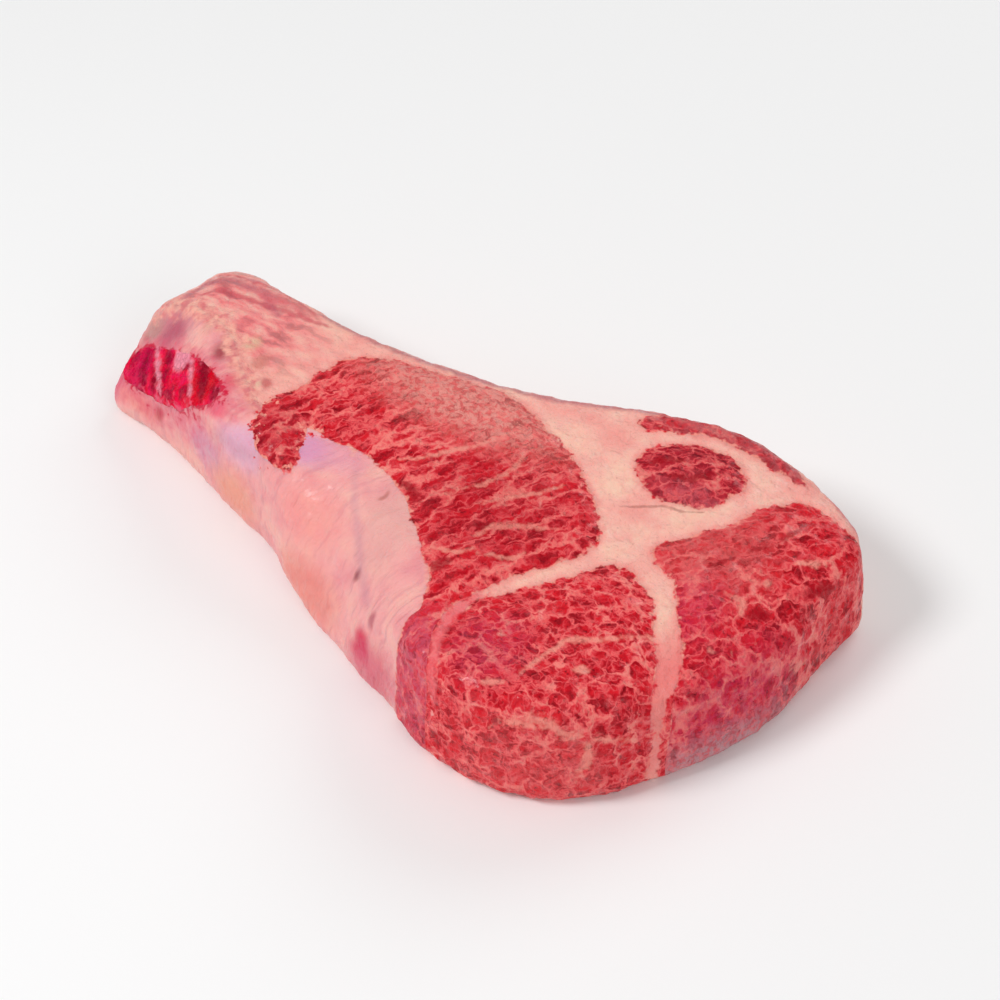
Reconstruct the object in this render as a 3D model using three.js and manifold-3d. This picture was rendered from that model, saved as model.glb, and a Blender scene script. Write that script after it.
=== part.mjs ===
// Raw bone-in beef rib steak, lying on its lower cut face. Millimetres, +Z up.
// +X runs from the sawn rib end to the big eye end, -Y is the side that the rib bone follows.
// The steak is one slab. Upright cuts part it into the rib, its marrow, five muscles and the fat between.
import * as THREE from "three";
import { mergeVertices } from "three/addons/utils/BufferGeometryUtils.js";
import Module from "manifold-3d";

// Driving sizes of the slab
const THICKNESS = 44;
const GAP = 0.3; // left between touching pieces
const WALL_STEP = 5.5; // spacing of points round the slab
const CUT_STEP = 4; // spacing of points round a muscle
const SIMPLER = 0.08; // how far a face may move when small ones are merged

// The side wall: rounded under and leaning in towards the top; shares are of its own height
const WALL_SHARES = [0, 0.03, 0.1, 0.22, 0.45, 0.72, 1];
const FOOT = { height: 8, inset: 5 };
const LEAN = 3;

// The upper face: a rounded rim, and slopes where the flank of the rib and the outer muscle fall away.
// The slab narrows towards its spine line, which the rings of the upper face close in on.
const RIM = { width: 8, drop: 6 };
const RIM_RINGS = [0.3, 1, 2.2, 4, 6.5, 10, 14];
const INNER_RINGS = 7;
const INNERMOST = 0.8; // share of the way in to the spine
const SPINE = [[-104, 18], [40, 2]];
const SLOPES = [
  { name: "rib flank", at: [-14, -47], reach: 27, width: 25, drop: 30 },
  { name: "outer muscle", at: [128, -4], reach: 50, width: 27, drop: 12 },
  { name: "thin tail", at: [-140, 38], reach: 32, width: 24, drop: 12 },
];
const SWELL = { height: 1.7, width: 9 }; // how far each muscle rises out of the fat
const UNEVEN = 0.7; // long waves of the cut face

// The slanting saw cut through the rib end: height at a corner and slopes along X and Y
const SAW = { at: [-134, -12], height: 12, slopeX: 0.63, slopeY: 0.8 };
const MARROW = {
  path: [
    [-140, 0.5, 15], [-133, -0.5, 19], [-120, -2.5, 23.5], [-105, -5, 27], [-89, -9.5, 31], [-74, -14.5, 30],
  ],
  halfWidth: [4, 6.8, 7.2, 7.6, 7, 3.5],
  halfHeight: [7, 12, 16, 18, 16, 9],
  sides: 20,
  steps: 14,
};

// Outlines in plan, each a smooth closed curve through its points, in turn to the left
const STEAK = [
  [-142, 11], [-141, -9], [-121, -11.5], [-103, -15.5], [-80, -23], [-50, -31.5], [-35, -40.5],
  [-19, -48.5], [-5, -53], [9, -58.5], [23, -62], [36.5, -68.5], [62, -71.5], [85, -65], [102.5, -50],
  [109, -39], [116.5, -28], [128, 1], [130.5, 34], [130.5, 57], [107, 73], [71, 78.5], [39, 70.5],
  [8, 58], [-23, 50], [-60, 45], [-99, 48], [-122, 53], [-135, 46.5], [-140, 31],
];
const RIB = [
  [-160, -30], [-60, -60], [0, -90], [46, -92], [37, -74], [33, -60], [31, -45], [22, -31], [7, -16],
  [-8, -5], [-30, -2], [-50, -2], [-66, -10], [-84, 0], [-98, 12], [-118, 17], [-160, 12],
];
const RIB_MUSCLE = [
  [-63, -20], [-53, -25], [-43, -24.5], [-46, -15], [-50, -7.5], [-40, -7.5], [-24, -7], [-6, -13.5],
  [12, -28], [26, -43], [28, -58], [30, -74], [42, -92], [58, -94], [48, -76], [39.5, -61], [36.7, -47],
  [40, -32], [50, -15], [59, 0], [54, 13], [40, 26], [20, 36], [0, 43], [-20, 40], [-44, 34.5], [-58, 26],
  [-63, 8], [-67, -8],
];
const EYE_MUSCLE = [
  [69, 0], [60, -13], [47, -30], [40.5, -42], [41.5, -54], [49, -70], [62, -95], [122, -68], [112, -49],
  [105.5, -36], [98, -22], [88, -9], [78, -1.5],
];
const CAP_MUSCLE = [
  [79, 8], [88, 4], [98, -9], [105.5, -18.5], [111, -34], [121, -54], [150, -30], [150, 40], [136, 52],
  [127, 56.5], [117, 57.5], [105, 58], [97, 50], [90, 35], [80, 22], [75, 14],
];
const SMALL_MUSCLE = [
  [54, 36], [64, 32.5], [75, 34], [83, 42], [86, 51], [81, 58], [71, 61], [60, 57], [52, 50], [49, 42],
];
const EDGE_MUSCLE = [
  [40, 56], [51, 58], [62, 64], [76, 66], [88, 65], [97, 64], [101, 66], [97, 69.5], [86, 73], [70, 74],
  [56, 71], [44, 64],
];

const wasm = await Module();
wasm.setup();

// Points spaced evenly along a smooth closed curve
function smoothOutline(knots, step) {
  const curve = new THREE.CatmullRomCurve3(
    knots.map(([x, y]) => new THREE.Vector3(x, y, 0)),
    true,
    "centripetal",
  );
  const points = curve.getSpacedPoints(Math.round(curve.getLength() / step));
  points.pop(); // the last point repeats the first
  return points.map((p) => new THREE.Vector2(p.x, p.y));
}

// An outline moved outwards by a distance, or inwards by a negative one
function offsetOutline(outline, distance) {
  const count = outline.length;
  return outline.map((point, i) => {
    const along = outline[(i + 1) % count].clone().sub(outline[(i + count - 1) % count]).normalize();
    return new THREE.Vector2(point.x + along.y * distance, point.y - along.x * distance);
  });
}

// Distance from a point to an outline
function distanceTo(outline, x, y) {
  let nearest = Infinity;
  for (let i = 0; i < outline.length; i++) {
    const a = outline[i];
    const b = outline[(i + 1) % outline.length];
    const dx = b.x - a.x;
    const dy = b.y - a.y;
    const share = THREE.MathUtils.clamp(((x - a.x) * dx + (y - a.y) * dy) / (dx * dx + dy * dy), 0, 1);
    nearest = Math.min(nearest, Math.hypot(x - a.x - share * dx, y - a.y - share * dy));
  }
  return nearest;
}

function isInside(outline, x, y) {
  let inside = false;
  for (let i = 0, j = outline.length - 1; i < outline.length; j = i++) {
    const a = outline[i];
    const b = outline[j];
    if (a.y > y !== b.y > y && x < ((b.x - a.x) * (y - a.y)) / (b.y - a.y) + a.x) inside = !inside;
  }
  return inside;
}

const planOf = (p) => new THREE.Vector2(p.x, p.y);
const endOf = (p) => new THREE.Vector2(p.y, p.z);

// Triangles over a ring seen flat
function capOf(ring, flatten) {
  return THREE.ShapeUtils.triangulateShape(ring.map(flatten), []);
}

// Triangles across a long narrow ring, from each point to the one that mirrors it
function zipOf(ring) {
  const triangles = [];
  for (let near = 0, far = ring.length - 1; near + 1 < far; near++, far--) {
    triangles.push([near, near + 1, far]);
    if (near + 1 < far - 1) triangles.push([near + 1, far - 1, far]);
  }
  return triangles;
}

// A closed skin over rings of equal count
function skin(rings, firstCap, lastCap) {
  const count = rings[0].length;
  const position = rings.flat().flatMap((p) => [p.x, p.y, p.z]);
  const index = [];
  for (let ring = 0; ring + 1 < rings.length; ring++) {
    for (let i = 0; i < count; i++) {
      const a = ring * count + i;
      const b = ring * count + ((i + 1) % count);
      index.push(a, b, b + count, a, b + count, a + count);
    }
  }
  const last = (rings.length - 1) * count;
  firstCap.forEach(([a, b, c]) => index.push(a, c, b));
  lastCap.forEach(([a, b, c]) => index.push(last + a, last + b, last + c));
  const geometry = new THREE.BufferGeometry();
  geometry.setAttribute("position", new THREE.Float32BufferAttribute(position, 3));
  geometry.setIndex(index);
  return geometry;
}

// A solid for joining and cutting
function solidOf(geometry) {
  const bare = geometry.clone();
  bare.deleteAttribute("normal");
  bare.deleteAttribute("uv");
  const merged = mergeVertices(bare, 1e-4);
  return new wasm.Manifold(
    new wasm.Mesh({
      numProp: 3,
      vertProperties: new Float32Array(merged.attributes.position.array),
      triVerts: new Uint32Array(merged.index.array),
    }),
  );
}

function meshOf(solid, name, material) {
  const made = solid.simplify(SIMPLER).getMesh();
  const geometry = new THREE.BufferGeometry();
  geometry.setAttribute("position", new THREE.BufferAttribute(new Float32Array(made.vertProperties), 3));
  geometry.setIndex(new THREE.BufferAttribute(new Uint32Array(made.triVerts), 1));
  geometry.computeVertexNormals();
  const mesh = new THREE.Mesh(geometry, material);
  mesh.name = name;
  return mesh;
}

const steakOutline = smoothOutline(STEAK, WALL_STEP);
const muscleOutlines = [RIB_MUSCLE, EYE_MUSCLE, CAP_MUSCLE, SMALL_MUSCLE, EDGE_MUSCLE].map((knots) =>
  smoothOutline(knots, CUT_STEP),
);

// How far the side wall stands in from its widest outline
function wallInset(share, z) {
  const under = Math.max(0, 1 - z / FOOT.height);
  return FOOT.inset * (1 - Math.sqrt(1 - under ** 2)) + LEAN * share ** 2;
}

// Height of the upper face at a point in plan
function surfaceHeight(x, y) {
  const inwards = Math.max(0, distanceTo(steakOutline, x, y) - LEAN);
  const rim = Math.max(0, 1 - inwards / RIM.width);
  let height = THICKNESS - RIM.drop * (1 - Math.sqrt(1 - rim ** 2));
  for (const slope of SLOPES) {
    const nearness = Math.exp(-(((x - slope.at[0]) ** 2 + (y - slope.at[1]) ** 2) / slope.reach ** 2));
    const share = Math.max(0, 1 - inwards / slope.width);
    height -= slope.drop * nearness * share ** 1.4;
  }
  for (const outline of muscleOutlines) {
    if (isInside(outline, x, y)) {
      const share = Math.min(1, distanceTo(outline, x, y) / SWELL.width);
      height += SWELL.height * Math.sin((share * Math.PI) / 2);
    }
  }
  return height + UNEVEN * (Math.sin(x / 17 + 1) * Math.cos(y / 21) + 0.5 * Math.sin(y / 9 + x / 31));
}

// The whole slab as one skin of rings, up the side wall and in over the upper face
function slab() {
  const [tail, head] = SPINE.map(([x, y]) => new THREE.Vector3(x, y, 0));
  const spine = new THREE.Line3(tail, head);
  const spokes = steakOutline.map((point) => {
    const from = new THREE.Vector3(point.x, point.y, 0);
    const to = spine.closestPointToPoint(from, true, new THREE.Vector3());
    const length = from.distanceTo(to);
    const pointAt = (inset, z) => from.clone().lerp(to, inset / length).setZ(z);
    const onTop = (inset) => {
      const p = pointAt(inset, 0);
      return p.setZ(surfaceHeight(p.x, p.y));
    };
    return { length, pointAt, onTop, edge: onTop(LEAN).z };
  });
  const rings = WALL_SHARES.map((share) =>
    spokes.map(({ pointAt, edge }) => pointAt(wallInset(share, share * edge), share * edge)),
  );
  for (const inset of RIM_RINGS) {
    rings.push(spokes.map(({ onTop }) => onTop(LEAN + inset)));
  }
  const start = LEAN + RIM_RINGS.at(-1);
  for (let ring = 1; ring <= INNER_RINGS; ring++) {
    const inset = (length) => THREE.MathUtils.lerp(start, INNERMOST * length, ring / INNER_RINGS);
    rings.push(spokes.map(({ length, onTop }) => onTop(inset(length))));
  }
  return solidOf(skin(rings, capOf(rings[0], planOf), zipOf(rings.at(-1)))).subtract(sawnAway());
}

// Everything above the slanting saw cut at the rib end
function sawnAway() {
  const size = 120;
  const block = new THREE.BoxGeometry(size, size, size);
  const normal = new THREE.Vector3(-SAW.slopeX, -SAW.slopeY, 1).normalize();
  const turn = new THREE.Quaternion().setFromUnitVectors(new THREE.Vector3(0, 0, 1), normal);
  const centre = new THREE.Vector3(SAW.at[0], SAW.at[1], SAW.height).addScaledVector(normal, size / 2);
  block.applyMatrix4(new THREE.Matrix4().compose(centre, turn, new THREE.Vector3(1, 1, 1)));
  return solidOf(block);
}

// The upright column over an outline, grown or shrunk by a distance
function column(outline, distance) {
  const grown = offsetOutline(outline, distance);
  const rings = [-5, THICKNESS + 15].map((z) => grown.map((p) => new THREE.Vector3(p.x, p.y, z)));
  return solidOf(skin(rings, capOf(grown, planOf), capOf(grown, planOf)));
}

// The soft core of the rib: a flattened tube that narrows from the sawn end
function marrowCore(growth) {
  const path = new THREE.CatmullRomCurve3(MARROW.path.map((p) => new THREE.Vector3(...p)));
  const last = MARROW.path.length - 1;
  const sizeAt = (sizes, share) => {
    const from = Math.min(last - 1, Math.floor(share * last));
    return THREE.MathUtils.lerp(sizes[from], sizes[from + 1], share * last - from);
  };
  const rings = [];
  for (let step = 0; step <= MARROW.steps; step++) {
    const share = step / MARROW.steps;
    const along = path.getTangent(share);
    const lengthen = growth * (2 * share - 1);
    const centre = path.getPoint(share).addScaledVector(along, lengthen);
    const side = new THREE.Vector3(along.y, -along.x, 0).normalize();
    const width = sizeAt(MARROW.halfWidth, share) + growth;
    const height = sizeAt(MARROW.halfHeight, share) + growth;
    const ring = [];
    for (let i = 0; i < MARROW.sides; i++) {
      const angle = (i / MARROW.sides) * 2 * Math.PI;
      const point = centre.clone().addScaledVector(side, -Math.cos(angle) * width);
      point.z += Math.sin(angle) * height;
      ring.push(point);
    }
    rings.push(ring);
  }
  return solidOf(skin(rings, capOf(rings[0], endOf), capOf(rings.at(-1), endOf)));
}

const steak = slab();
const ribColumn = column(smoothOutline(RIB, CUT_STEP), -GAP / 2);
const muscleRoom = wasm.Manifold.union(muscleOutlines.map((outline) => column(outline, GAP / 2)));

const material = (color, roughness) => new THREE.MeshStandardMaterial({ color, roughness, metalness: 0 });

function muscle(name, outline, color) {
  return meshOf(steak.intersect(column(outline, -GAP / 2)), name, material(color, 0.42));
}

// The rib follows the -Y side from its sawn end to the eye, with the soft marrow showing in the saw cut
function ribBone() {
  const bone = steak.intersect(ribColumn).subtract(muscleRoom).subtract(marrowCore(GAP));
  return meshOf(bone, "rib_bone", material(0xeaaea8, 0.38));
}

function marrow() {
  return meshOf(steak.intersect(marrowCore(0)), "marrow", material(0xb5142f, 0.5));
}

// One piece of fat: the outer cover, the wide patch between the muscles and the seams that branch off it
function fat() {
  const ribRoom = column(smoothOutline(RIB, CUT_STEP), GAP / 2);
  return meshOf(steak.subtract(muscleRoom).subtract(ribRoom), "fat", material(0xf3aa9b, 0.45));
}

const pieces = new THREE.Group();
const [ribOutline, eyeOutline, capOutline, smallOutline, edgeOutline] = muscleOutlines;
pieces.add(
  muscle("rib_muscle", ribOutline, 0xc02f3c),
  muscle("eye_muscle", eyeOutline, 0xcb2a34),
  muscle("cap_muscle", capOutline, 0xbf3848),
  muscle("small_muscle", smallOutline, 0xb02a3e),
  muscle("edge_muscle", edgeOutline, 0xc4606a),
  ribBone(),
  marrow(),
  fat(),
);

// Centred over the origin, resting on Z = 0
const centre = new THREE.Box3().setFromObject(pieces).getCenter(new THREE.Vector3());
pieces.position.set(-centre.x, -centre.y, 0);
const group = new THREE.Group();
group.add(pieces);

export default group;
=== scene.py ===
"""A raw bone-in beef rib steak, lying with its cut face up on a pale floor.

The steak is one slab with a rounded rim. Upright cuts with wandering sides part it into five muscles, the
rib and the fat between them, and a core cut out of the rib is its marrow. Sizes are in millimetres until the
last step, as in the part's own frame before it was centred.
"""

import math

import bpy
import numpy as np
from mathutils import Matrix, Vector, noise


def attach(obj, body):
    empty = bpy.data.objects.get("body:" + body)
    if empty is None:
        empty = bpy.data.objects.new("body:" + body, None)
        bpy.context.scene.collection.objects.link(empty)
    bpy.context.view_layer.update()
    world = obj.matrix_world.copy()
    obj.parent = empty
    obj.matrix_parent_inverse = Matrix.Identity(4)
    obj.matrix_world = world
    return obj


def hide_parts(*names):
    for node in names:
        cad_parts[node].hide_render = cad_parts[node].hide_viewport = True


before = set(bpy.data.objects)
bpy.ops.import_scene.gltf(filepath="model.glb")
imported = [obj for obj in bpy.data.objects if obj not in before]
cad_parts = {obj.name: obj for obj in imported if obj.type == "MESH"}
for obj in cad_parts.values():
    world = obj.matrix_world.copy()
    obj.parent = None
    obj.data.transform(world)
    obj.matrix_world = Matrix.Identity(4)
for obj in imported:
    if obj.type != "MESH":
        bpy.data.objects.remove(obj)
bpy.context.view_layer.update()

MM = 0.001

# Driving sizes of the slab, the same as in the part's source
THICKNESS = 44
FOOT = {"height": 8, "inset": 5}
LEAN = 3
RIM = {"width": 8, "drop": 6}
SLOPES = [
    {"name": "rib flank", "at": (-14, -47), "reach": 27, "width": 25, "drop": 30},
    {"name": "outer muscle", "at": (128, -4), "reach": 50, "width": 27, "drop": 12},
    {"name": "thin tail", "at": (-140, 38), "reach": 32, "width": 24, "drop": 12},
]
SWELL = {"height": 1.7, "width": 9}
UNEVEN = {"height": 0.7, "waves": (17, 21), "ripples": (31, 9)}
SAW = {"at": (-134, -12), "height": 12, "slope_x": 0.63, "slope_y": 0.8, "softness": 1.0}
MARROW = {
    "path": [
        (-140, 0.5, 15), (-133, -0.5, 19), (-120, -2.5, 23.5),
        (-105, -5, 27), (-89, -9.5, 31), (-74, -14.5, 30),
    ],
    "half_width": [4, 6.8, 7.2, 7.6, 7, 3.5],
    "half_height": [7, 12, 16, 18, 16, 9],
    "sides": 48,
    "bumps": (4, 1.6),
}

# The scene's own relief: how far in the slant of the walls reaches, how the underside is flattened, and size
# and strength of the bumps
WALL_FADE = 16
UNDERSIDE = {"flat": 0.7, "rise": 1.2}
BUMPS = [(11, 1.5), (4, 0.8)]
GRIT = (2, 0.35)

# How the cuts wander: length of the waves in plan and upwards, where the noise starts, and how far they go
WAVES = [(9, 22, 0, 1.4), (3, 9, 40, 0.7)]

# Outlines in plan, each a smooth closed curve through its points, in turn to the left
STEAK = [
    (-142, 11), (-141, -9), (-121, -11.5), (-103, -15.5), (-80, -23), (-50, -31.5), (-35, -40.5),
    (-19, -48.5), (-5, -53), (9, -58.5), (23, -62), (36.5, -68.5), (62, -71.5), (85, -65), (102.5, -50),
    (109, -39), (116.5, -28), (128, 1), (130.5, 34), (130.5, 57), (107, 73), (71, 78.5), (39, 70.5),
    (8, 58), (-23, 50), (-60, 45), (-99, 48), (-122, 53), (-135, 46.5), (-140, 31),
]
RIB = [
    (-160, -30), (-60, -60), (0, -90), (46, -92), (37, -74), (33, -60), (31, -45), (22, -31), (7, -16),
    (-8, -5), (-30, -2), (-50, -2), (-66, -10), (-84, 0), (-98, 12), (-118, 17), (-160, 12),
]
MUSCLES = {
    "rib_meat": [
        (-63, -20), (-53, -25), (-43, -24.5), (-46, -15), (-50, -7.5), (-40, -7.5), (-24, -7), (-6, -13.5),
        (12, -28), (26, -43), (28, -58), (30, -74), (42, -92), (58, -94), (48, -76), (39.5, -61),
        (36.7, -47), (40, -32), (50, -15), (59, 0), (54, 13), (40, 26), (20, 36), (0, 43), (-20, 40),
        (-44, 34.5), (-58, 26), (-63, 8), (-67, -8),
    ],
    "eye_meat": [
        (69, 0), (60, -13), (47, -30), (40.5, -42), (41.5, -54), (49, -70), (62, -95), (122, -68),
        (112, -49), (105.5, -36), (98, -22), (88, -9), (78, -1.5),
    ],
    "cap_meat": [
        (79, 8), (88, 4), (98, -9), (105.5, -18.5), (111, -34), (121, -54), (150, -30), (150, 40), (136, 52),
        (127, 56.5), (117, 57.5), (105, 58), (97, 50), (90, 35), (80, 22), (75, 14),
    ],
    "small_meat": [
        (54, 36), (64, 32.5), (75, 34), (83, 42), (86, 51), (81, 58), (71, 61), (60, 57), (52, 50), (49, 42),
    ],
    "edge_meat": [
        (40, 56), (51, 58), (62, 64), (76, 66), (88, 65), (97, 64), (101, 66), (97, 69.5), (86, 73),
        (70, 74), (56, 71), (44, 64),
    ],
}

# Fineness of the meshes
SPAN_POINTS = 24
SLAB_STEP = 1.2
COARSE_STEP = 3
MARK_STEP = 1.8
FIRST_VOXEL = 1.2
MARROW_VOXEL = 1.0
VOXEL = 0.8
CUT_STEP = 0.9
CUT_LEVELS = 8
CUT_HEIGHT = 64
CUT_FLOOR = -6
SMOOTH_ANGLE = math.radians(50)


# ---------------------------------------------------------------- outlines


def smooth_outline(knots, step):
    """Points spaced evenly along a smooth closed curve through the knots."""
    knots = np.array(knots, float)
    share = np.linspace(0, 1, SPAN_POINTS, endpoint=False)[:, None]
    spans = []
    for i in range(len(knots)):
        p0, p1, p2, p3 = (knots[(i + k) % len(knots)] for k in (-1, 0, 1, 2))
        d0, d1, d2 = (math.sqrt(math.dist(a, b)) for a, b in ((p0, p1), (p1, p2), (p2, p3)))
        out = ((p1 - p0) / d0 - (p2 - p0) / (d0 + d1) + (p2 - p1) / d1) * d1
        into = ((p2 - p1) / d1 - (p3 - p1) / (d1 + d2) + (p3 - p2) / d2) * d1
        square = -3 * p1 + 3 * p2 - 2 * out - into
        cube = 2 * p1 - 2 * p2 + out + into
        spans.append(p1 + out * share + square * share**2 + cube * share**3)
    curve = np.vstack(spans + [knots[:1]])
    length = np.concatenate([[0], np.cumsum(np.hypot(*np.diff(curve, axis=0).T))])
    at = np.arange(round(length[-1] / step)) * (length[-1] / round(length[-1] / step))
    return np.column_stack([np.interp(at, length, curve[:, axis]) for axis in (0, 1)])


def outward(outline):
    """The outward normal at each point of an outline."""
    along = np.roll(outline, -1, axis=0) - np.roll(outline, 1, axis=0)
    along /= np.linalg.norm(along, axis=1)[:, None]
    return np.column_stack([along[:, 1], -along[:, 0]])


def nearest_on(outline, points, chunk=4000):
    """Each point's distance to an outline, negative outside, and the outward normal where it is nearest."""
    spans = np.roll(outline, -1, axis=0) - outline
    lengths = (spans**2).sum(axis=1)
    normals = outward(outline)
    distances, directions = [], []
    for start in range(0, len(points), chunk):
        offset = points[start : start + chunk, None, :] - outline[None]
        share = np.clip((offset * spans).sum(axis=2) / lengths, 0, 1)
        away = offset - share[..., None] * spans
        squared = (away**2).sum(axis=2)
        at = squared.argmin(axis=1)
        row = np.arange(len(at))
        part = share[row, at][:, None]
        normal = normals[at] * (1 - part) + normals[(at + 1) % len(outline)] * part
        outside = (away[row, at] * normal).sum(axis=1) > 0
        distances.append(np.sqrt(squared[row, at]) * np.where(outside, -1, 1))
        directions.append(normal)
    return np.concatenate(distances), np.vstack(directions)


def wandering(outline, z):
    """An outline that strays a little to each side, differently at each height."""
    stray = np.zeros(len(outline))
    for length, upwards, start, reach in WAVES:
        places = [Vector((x / length, y / length, z / upwards + start)) for x, y in outline]
        stray += reach * np.array([noise.noise(place) for place in places])
    return outline + outward(outline) * stray[:, None]


steak_outline = smooth_outline(STEAK, COARSE_STEP)
muscle_outlines = {name: smooth_outline(knots, COARSE_STEP) for name, knots in MUSCLES.items()}


# ---------------------------------------------------------------- modelling


def only(piece):
    """Selects one object and nothing else."""
    bpy.ops.object.select_all(action="DESELECT")
    piece.select_set(True)
    bpy.context.view_layer.objects.active = piece


def apply_modifier(piece, kind, **settings):
    """Adds one modifier with its settings and applies it."""
    modifier = piece.modifiers.new(kind.lower(), kind)
    for name, value in settings.items():
        setattr(modifier, name, value)
    only(piece)
    bpy.ops.object.modifier_apply(modifier=modifier.name)


def points_of(piece):
    """The places of a mesh's points."""
    points = np.empty(len(piece.data.vertices) * 3)
    piece.data.vertices.foreach_get("co", points)
    return points.reshape(-1, 3)


def move_points(piece, points):
    piece.data.vertices.foreach_set("co", points.ravel())
    piece.data.update()


def upright_block(name, outline, floor, height, levels=1):
    """A disc moved to an outline and drawn upwards in even levels."""
    bpy.ops.object.select_all(action="DESELECT")
    bpy.ops.mesh.primitive_circle_add(vertices=len(outline), radius=1, fill_type="NGON", location=(0, 0, 0))
    piece = bpy.context.object
    piece.name = piece.data.name = name
    move_points(piece, np.column_stack([outline, np.full(len(outline), floor)]))
    bpy.ops.object.mode_set(mode="EDIT")
    bpy.ops.mesh.select_all(action="SELECT")
    for _ in range(levels):
        bpy.ops.mesh.extrude_region_move(TRANSFORM_OT_translate={"value": (0, 0, height / levels)})
    bpy.ops.mesh.select_all(action="SELECT")
    bpy.ops.mesh.normals_make_consistent(inside=False)
    bpy.ops.object.mode_set(mode="OBJECT")
    return piece


def surface_height(plan):
    """Height of the upper face over points in plan, cut down softly to the plane of the saw."""
    x, y = plan.T
    inwards = np.maximum(0, nearest_on(steak_outline, plan)[0] - LEAN)
    rim = np.maximum(0, 1 - inwards / RIM["width"])
    height = THICKNESS - RIM["drop"] * (1 - np.sqrt(1 - rim**2))
    for slope in SLOPES:
        nearness = np.exp(-((x - slope["at"][0]) ** 2 + (y - slope["at"][1]) ** 2) / slope["reach"] ** 2)
        height -= slope["drop"] * nearness * np.maximum(0, 1 - inwards / slope["width"]) ** 1.4
    for outline in muscle_outlines.values():
        inside = np.clip(nearest_on(outline, plan)[0] / SWELL["width"], 0, 1)
        height += SWELL["height"] * np.sin(inside * math.pi / 2)
    (wave_x, wave_y), (ripple_x, ripple_y) = UNEVEN["waves"], UNEVEN["ripples"]
    waves = np.sin(x / wave_x + 1) * np.cos(y / wave_y) + 0.5 * np.sin(y / ripple_y + x / ripple_x)
    height += UNEVEN["height"] * waves
    sawn = SAW["height"] + SAW["slope_x"] * (x - SAW["at"][0]) + SAW["slope_y"] * (y - SAW["at"][1])
    softness = SAW["softness"]
    return -softness * np.logaddexp(-height / softness, -sawn / softness)


def wall_inset(share, z):
    under = np.clip(1 - z / FOOT["height"], 0, 1)
    return FOOT["inset"] * (1 - np.sqrt(1 - under**2)) + LEAN * share**2


def uneven(piece, size, strength):
    """Pushes the surface in and out by a cloud pattern."""
    cloud = bpy.data.textures.new(f"cloud {size}", "CLOUDS")
    cloud.noise_scale = size
    cloud.noise_depth = 2
    push = {"strength": strength, "mid_level": 0.5}
    apply_modifier(piece, "DISPLACE", texture=cloud, texture_coords="LOCAL", **push)


def slab():
    """The whole steak as one closed skin."""
    piece = upright_block("steak", smooth_outline(STEAK, SLAB_STEP), 0, THICKNESS)
    apply_modifier(piece, "REMESH", mode="VOXEL", voxel_size=FIRST_VOXEL)
    points = points_of(piece)
    plan, share = points[:, :2], np.clip(points[:, 2] / THICKNESS, 0, 1)
    inside, away = nearest_on(steak_outline, plan)
    fade = np.clip(1 - inside / WALL_FADE, 0, 1)[:, None]
    height = surface_height(plan - away * fade * LEAN)
    z = share * height
    plan = plan - away * fade * wall_inset(share, z)[:, None]
    move_points(piece, np.column_stack([plan, z]))
    apply_modifier(piece, "REMESH", mode="VOXEL", voxel_size=VOXEL)
    for bump in BUMPS:
        uneven(piece, *bump)
    apply_modifier(piece, "SMOOTH", factor=0.5, iterations=2)
    uneven(piece, *GRIT)
    points = points_of(piece)
    flat, rise = UNDERSIDE["flat"], UNDERSIDE["rise"]
    low = points[:, 2] < rise
    points[low, 2] = np.maximum(0, points[low, 2] - flat) * rise / (rise - flat)
    move_points(piece, points)
    return piece


def column(name, knots):
    """The upright cutter over an outline, with wandering sides."""
    outline = smooth_outline(knots, CUT_STEP)
    piece = upright_block(name, outline, CUT_FLOOR, CUT_HEIGHT, CUT_LEVELS)
    points = points_of(piece)
    count = len(outline)
    for start in range(0, len(points), count):
        level = points[start : start + count]
        around = np.array([np.abs(outline - p[:2]).sum(axis=1).argmin() for p in level])
        level[:, :2] = wandering(outline, level[0, 2])[around]
    move_points(piece, points)
    return piece


def marrow_core():
    """The soft core of the rib: oval rings along its path, joined into a tube and closed at both ends."""
    path = np.array(MARROW["path"], float)
    heading = np.vstack([path[1:], path[-1:]]) - np.vstack([path[:1], path[:-1]])
    bpy.ops.object.select_all(action="DESELECT")
    rings = []
    for at, along, width, height in zip(path, heading, MARROW["half_width"], MARROW["half_height"]):
        bpy.ops.mesh.primitive_circle_add(vertices=MARROW["sides"], radius=1, location=(0, 0, 0))
        ring = bpy.context.object
        side = np.array([along[1], -along[0], 0]) / math.hypot(along[0], along[1])
        flat = points_of(ring)
        move_points(ring, at + flat[:, :1] * side * width + flat[:, 1:2] * np.array([0, 0, 1]) * height)
        rings.append(ring)
    for ring in rings:
        ring.select_set(True)
    bpy.ops.object.join()
    core = bpy.context.object
    core.name = core.data.name = "marrow core"
    bpy.ops.object.mode_set(mode="EDIT")
    bpy.ops.mesh.select_all(action="SELECT")
    bpy.ops.mesh.bridge_edge_loops()
    bpy.ops.mesh.select_all(action="SELECT")
    bpy.ops.mesh.fill_holes(sides=0)
    bpy.ops.mesh.normals_make_consistent(inside=False)
    bpy.ops.object.mode_set(mode="OBJECT")
    apply_modifier(core, "SUBSURF", levels=2, render_levels=2)
    apply_modifier(core, "REMESH", mode="VOXEL", voxel_size=MARROW_VOXEL)
    uneven(core, *MARROW["bumps"])
    return core


def copy_of(piece, name):
    made = piece.copy()
    made.data = piece.data.copy()
    made.name = made.data.name = name
    bpy.context.scene.collection.objects.link(made)
    return made


def cut(piece, cutter, operation):
    apply_modifier(piece, "BOOLEAN", object=cutter, operation=operation, solver="MANIFOLD")


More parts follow.
